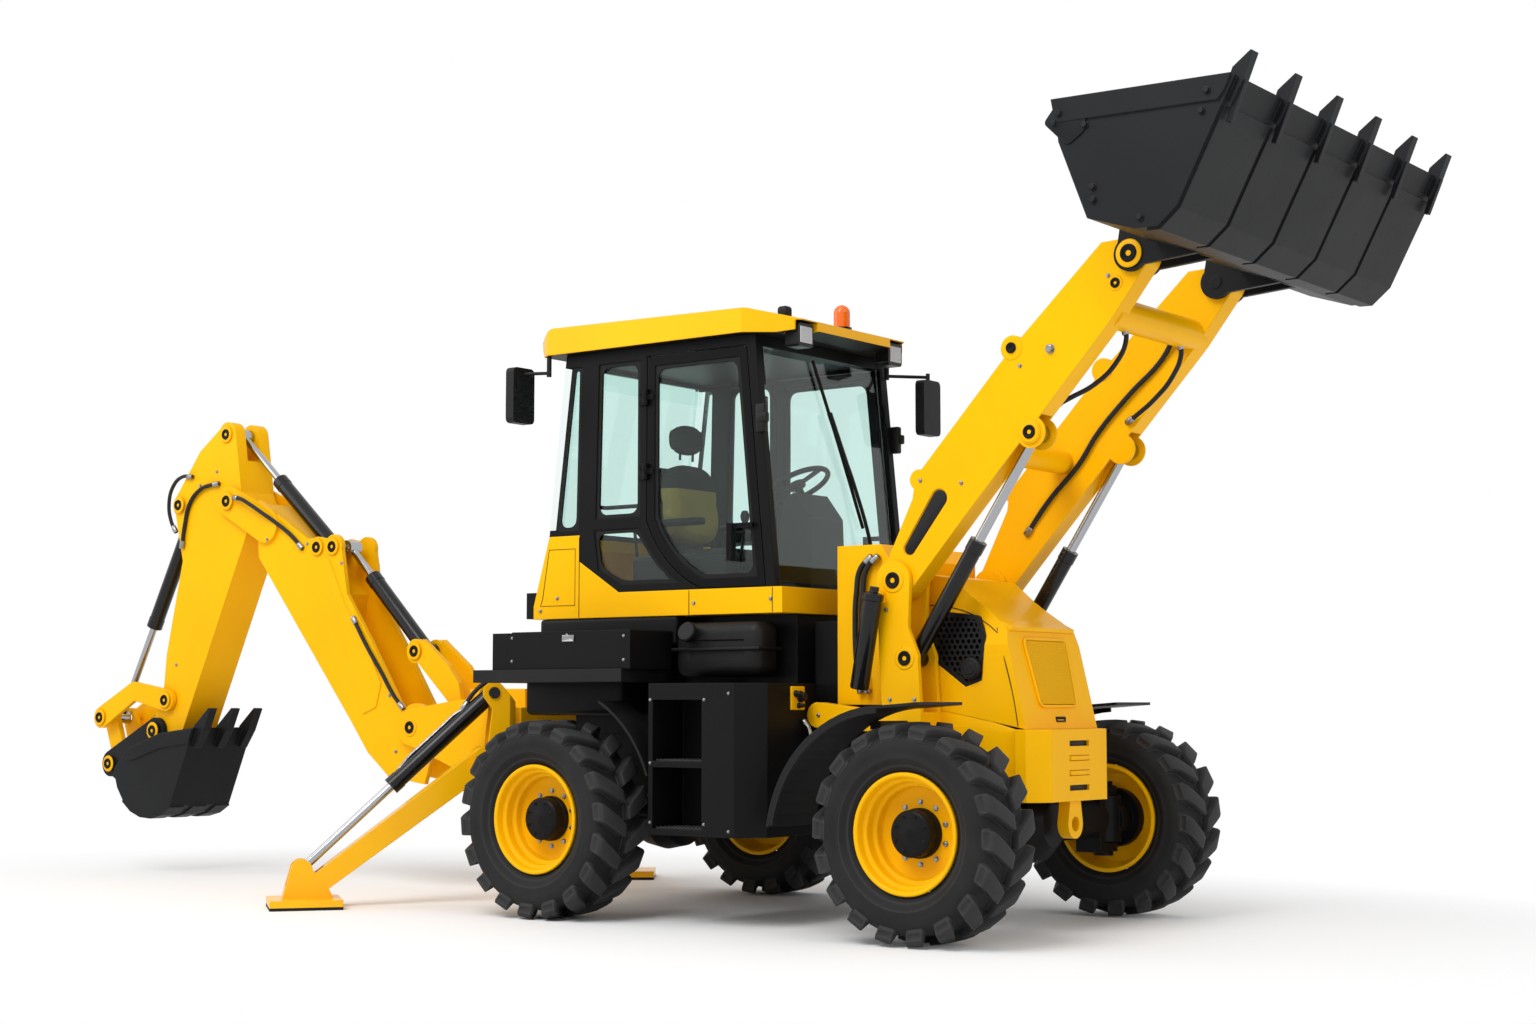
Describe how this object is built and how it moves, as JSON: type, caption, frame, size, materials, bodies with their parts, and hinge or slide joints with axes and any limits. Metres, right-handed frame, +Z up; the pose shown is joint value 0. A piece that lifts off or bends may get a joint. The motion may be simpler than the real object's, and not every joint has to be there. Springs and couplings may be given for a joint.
{
  "type": "backhoe loader",
  "caption": "Four-wheeled construction machine with a glazed cab, a front loader bucket on lift arms and a rear digging arm with stabilisers",
  "frame": {"origin": "on the ground under the middle of the machine's length and width", "axes": "+X forward to the loader bucket, +Y to the machine's left, +Z up"},
  "size_m": [8.78, 3.1506, 3.75],
  "materials": {
    "body_yellow": "gloss",
    "frame_black": "satin",
    "tyre_rubber": "matte",
    "rod_chrome": "polished",
    "barrel_black": "gloss",
    "bucket_black": "matte",
    "cab_black": "satin",
    "window_glass": "clear",
    "trim_plastic": "matte",
    "seat_fabric": "matte",
    "lamp_clear": "gloss",
    "beacon_orange": "gloss",
    "engine_grey": "matte"
  },
  "bodies": {
    "chassis": {"frame": "frame_black", "rear_frame": "body_yellow", "loader_tower": "body_yellow", "hood": "body_yellow", "side_grilles": "trim_plastic", "front_grille": "body_yellow", "bumper": "body_yellow", "tow_hook": "body_yellow", "engine_block": "engine_grey", "front_axle": "frame_black", "rear_axle": "frame_black", "front_fenders": "trim_plastic", "rear_fenders": "trim_plastic", "tool_boxes": "frame_black", "step_boxes": "frame_black", "cab_base": "body_yellow", "cab_frame": "cab_black", "cab_roof": "body_yellow", "cab_glass": "window_glass", "seat": "seat_fabric", "console": "trim_plastic", "lamps": "lamp_clear", "beacon": "beacon_orange", "mirrors": "trim_plastic"},
    "right_door": {"door_right": "cab_black", "door_glass_right": "window_glass"},
    "left_door": {"door_left": "cab_black", "door_glass_left": "window_glass"},
    "right_knuckle": {"knuckle_right": "frame_black"},
    "left_knuckle": {"knuckle_left": "frame_black"},
    "wheel_front_right": {"tyre_front_right": "tyre_rubber", "rim_front_right": "body_yellow"},
    "wheel_front_left": {"tyre_front_left": "tyre_rubber", "rim_front_left": "body_yellow"},
    "wheel_rear_right": {"tyre_rear_right": "tyre_rubber", "rim_rear_right": "body_yellow"},
    "wheel_rear_left": {"tyre_rear_left": "tyre_rubber", "rim_rear_left": "body_yellow"},
    "arms": {"loader_arms": "body_yellow"},
    "front_bucket": {"loader_bucket": "bucket_black"},
    "lift_tubes": {"lift_barrels": "barrel_black"},
    "lift_pistons": {"lift_rods": "rod_chrome"},
    "post": {"swing_post": "body_yellow"},
    "boom": {"hoe_boom": "body_yellow"},
    "boom_tube": {"boom_barrel": "barrel_black"},
    "boom_piston": {"boom_rod": "rod_chrome"},
    "dipper": {"hoe_dipper": "body_yellow"},
    "dipper_tube": {"dipper_barrel": "barrel_black"},
    "dipper_piston": {"dipper_rod": "rod_chrome"},
    "rear_bucket": {"hoe_bucket": "bucket_black"},
    "bucket_tube": {"bucket_barrel": "barrel_black"},
    "bucket_piston": {"bucket_rod": "rod_chrome"},
    "tip_link": {"tipping_link": "body_yellow"},
    "pull_link": {"bucket_link": "body_yellow"},
    "right_leg": {"stabiliser_right": "body_yellow"},
    "left_leg": {"stabiliser_left": "body_yellow"},
    "right_leg_tube": {"stab_barrel_right": "barrel_black"},
    "left_leg_tube": {"stab_barrel_left": "barrel_black"},
    "right_leg_piston": {"stab_rod_right": "rod_chrome"},
    "left_leg_piston": {"stab_rod_left": "rod_chrome"}
  },
  "joints": [
    {"name": "door_right_hinge", "type": "hinge", "parent": "chassis", "child": "right_door", "pos_m": [0.712, -0.599, 1.66], "axis": [0, 0, -1], "range_deg": [0, 85]},
    {"name": "steer_right", "type": "hinge", "parent": "chassis", "child": "right_knuckle", "pos_m": [2.625, -0.76, 0.5], "axis": [0, 0, 1], "range_deg": [-28, 28]},
    {"name": "door_left_hinge", "type": "hinge", "parent": "chassis", "child": "left_door", "pos_m": [0.712, 0.599, 1.66], "axis": [0, 0, 1], "range_deg": [0, 85]},
    {"name": "steer_left", "type": "hinge", "parent": "chassis", "child": "left_knuckle", "pos_m": [2.625, 0.76, 0.5], "axis": [0, 0, 1], "range_deg": [-28, 28]},
    {"name": "wheel_front_right_spin", "type": "hinge", "parent": "right_knuckle", "child": "wheel_front_right", "pos_m": [2.625, -0.9325, 0.5], "axis": [0, 1, 0], "continuous": true},
    {"name": "wheel_rear_right_spin", "type": "hinge", "parent": "chassis", "child": "wheel_rear_right", "pos_m": [0.395, -0.9325, 0.5], "axis": [0, 1, 0], "continuous": true},
    {"name": "wheel_front_left_spin", "type": "hinge", "parent": "left_knuckle", "child": "wheel_front_left", "pos_m": [2.625, 0.9325, 0.5], "axis": [0, 1, 0], "continuous": true},
    {"name": "wheel_rear_left_spin", "type": "hinge", "parent": "chassis", "child": "wheel_rear_left", "pos_m": [0.395, 0.9325, 0.5], "axis": [0, 1, 0], "continuous": true},
    {"name": "loader_lift", "type": "hinge", "parent": "chassis", "child": "arms", "pos_m": [2.205, 0, 1.67], "axis": [0, -1, 0], "range_deg": [-88, 7]},
    {"name": "loader_tilt", "type": "hinge", "parent": "arms", "child": "front_bucket", "pos_m": [3.495, 0, 3.105], "axis": [0, 1, 0], "range_deg": [-30, 92]},
    {"name": "lift_barrel_hinge", "type": "hinge", "parent": "chassis", "child": "lift_tubes", "pos_m": [2.271, 0, 1.296], "axis": [0, -1, 0], "range_deg": [-86.48, 7.34]},
    {"name": "lift_rod_slide", "type": "slide", "parent": "lift_tubes", "child": "lift_pistons", "axis": [0.5499, 0, 0.8353], "range_m": [-0.5288, 0.0439]},
    {"name": "hoe_swing", "type": "hinge", "parent": "chassis", "child": "post", "pos_m": [-0.945, 0, 0.885], "axis": [0, 0, 1], "range_deg": [-90, 90]},
    {"name": "hoe_boom_hinge", "type": "hinge", "parent": "post", "child": "boom", "pos_m": [-1.405, 0, 0.943], "axis": [0, 1, 0], "range_deg": [-65, 25]},
    {"name": "boom_barrel_hinge", "type": "hinge", "parent": "post", "child": "boom_tube", "pos_m": [-1.465, 0, 1.39], "axis": [0, 1, 0], "range_deg": [-76.55, 29.75]},
    {"name": "boom_rod_slide", "type": "slide", "parent": "boom_tube", "child": "boom_piston", "axis": [-0.7194, 0, 0.6946], "range_m": [-0.146, 0.3764]},
    {"name": "hoe_dipper_hinge", "type": "hinge", "parent": "boom", "child": "dipper", "pos_m": [-3.083, 0, 2.359], "axis": [0, 1, 0], "range_deg": [-30, 75]},
    {"name": "dipper_barrel_hinge", "type": "hinge", "parent": "boom", "child": "dipper_tube", "pos_m": [-2.27, 0, 2.035], "axis": [0, 1, 0], "range_deg": [-5.81, 13.77]},
    {"name": "dipper_rod_slide", "type": "slide", "parent": "dipper_tube", "child": "dipper_piston", "axis": [-0.7584, 0, 0.6518], "range_m": [-0.3947, 0.1591]},
    {"name": "hoe_bucket_hinge", "type": "hinge", "parent": "dipper", "child": "rear_bucket", "pos_m": [-3.763, 0, 0.907], "axis": [0, 1, 0], "range_deg": [-20, 75]},
    {"name": "bucket_barrel_hinge", "type": "hinge", "parent": "dipper", "child": "bucket_tube", "pos_m": [-3.596, 0, 2.363], "axis": [0, 1, 0], "range_deg": [-2.96, 9.72]},
    {"name": "bucket_rod_slide", "type": "slide", "parent": "bucket_tube", "child": "bucket_piston", "axis": [-0.4692, 0, -0.8831], "range_m": [-0.6225, 0.1675]},
    {"name": "tipping_hinge", "type": "hinge", "parent": "dipper", "child": "tip_link", "pos_m": [-3.662, 0, 1.104], "axis": [0, 1, 0], "range_deg": [-15.9, 58.25]},
    {"name": "pull_hinge", "type": "hinge", "parent": "rear_bucket", "child": "pull_link", "pos_m": [-4.209, 0, 0.69], "axis": [0, 1, 0], "range_deg": [-54.5, 14.9]},
    {"name": "leg_right_hinge", "type": "hinge", "parent": "chassis", "child": "right_leg", "pos_m": [-0.455, -0.56, 0.78], "axis": [0.788, -0.6157, 0], "range_deg": [-100, 5]},
    {"name": "leg_right_barrel_hinge", "type": "hinge", "parent": "chassis", "child": "right_leg_tube", "pos_m": [-0.43037, -0.52848, 1.14], "axis": [0.788, -0.6157, 0], "range_deg": [-100.5, 5.5]},
    {"name": "leg_right_rod_slide", "type": "slide", "parent": "right_leg_tube", "child": "right_leg_piston", "axis": [-0.4507, -0.5768, -0.6813], "range_m": [-0.5169, 0.0277]},
    {"name": "leg_left_hinge", "type": "hinge", "parent": "chassis", "child": "left_leg", "pos_m": [-0.455, 0.56, 0.78], "axis": [-0.788, -0.6157, 0], "range_deg": [-100, 5]},
    {"name": "leg_left_barrel_hinge", "type": "hinge", "parent": "chassis", "child": "left_leg_tube", "pos_m": [-0.43037, 0.52848, 1.14], "axis": [-0.788, -0.6157, 0], "range_deg": [-100.5, 5.5]},
    {"name": "leg_left_rod_slide", "type": "slide", "parent": "left_leg_tube", "child": "left_leg_piston", "axis": [-0.4507, 0.5768, -0.6813], "range_m": [-0.5169, 0.0277]}
  ],
  "couplings": [
    {"joint": "steer_left", "follows": "steer_right", "ratio": 1},
    {"joint": "lift_barrel_hinge", "follows": "loader_lift", "ratio": 0.977},
    {"joint": "lift_rod_slide", "follows": "loader_lift", "m_per_rad": 0.343},
    {"joint": "boom_barrel_hinge", "follows": "hoe_boom_hinge", "ratio": 1.17},
    {"joint": "boom_rod_slide", "follows": "hoe_boom_hinge", "m_per_rad": -0.33},
    {"joint": "dipper_barrel_hinge", "follows": "hoe_dipper_hinge", "ratio": 0.177},
    {"joint": "dipper_rod_slide", "follows": "hoe_dipper_hinge", "m_per_rad": -0.3},
    {"joint": "bucket_barrel_hinge", "follows": "hoe_bucket_hinge", "ratio": 0.123},
    {"joint": "bucket_rod_slide", "follows": "hoe_bucket_hinge", "m_per_rad": -0.474},
    {"joint": "tipping_hinge", "follows": "hoe_bucket_hinge", "ratio": 0.77},
    {"joint": "pull_hinge", "follows": "hoe_bucket_hinge", "ratio": -0.72},
    {"joint": "leg_right_barrel_hinge", "follows": "leg_right_hinge", "ratio": 1},
    {"joint": "leg_right_rod_slide", "follows": "leg_right_hinge", "m_per_rad": 0.295},
    {"joint": "leg_left_barrel_hinge", "follows": "leg_left_hinge", "ratio": 1},
    {"joint": "leg_left_rod_slide", "follows": "leg_left_hinge", "m_per_rad": 0.295}
  ]
}
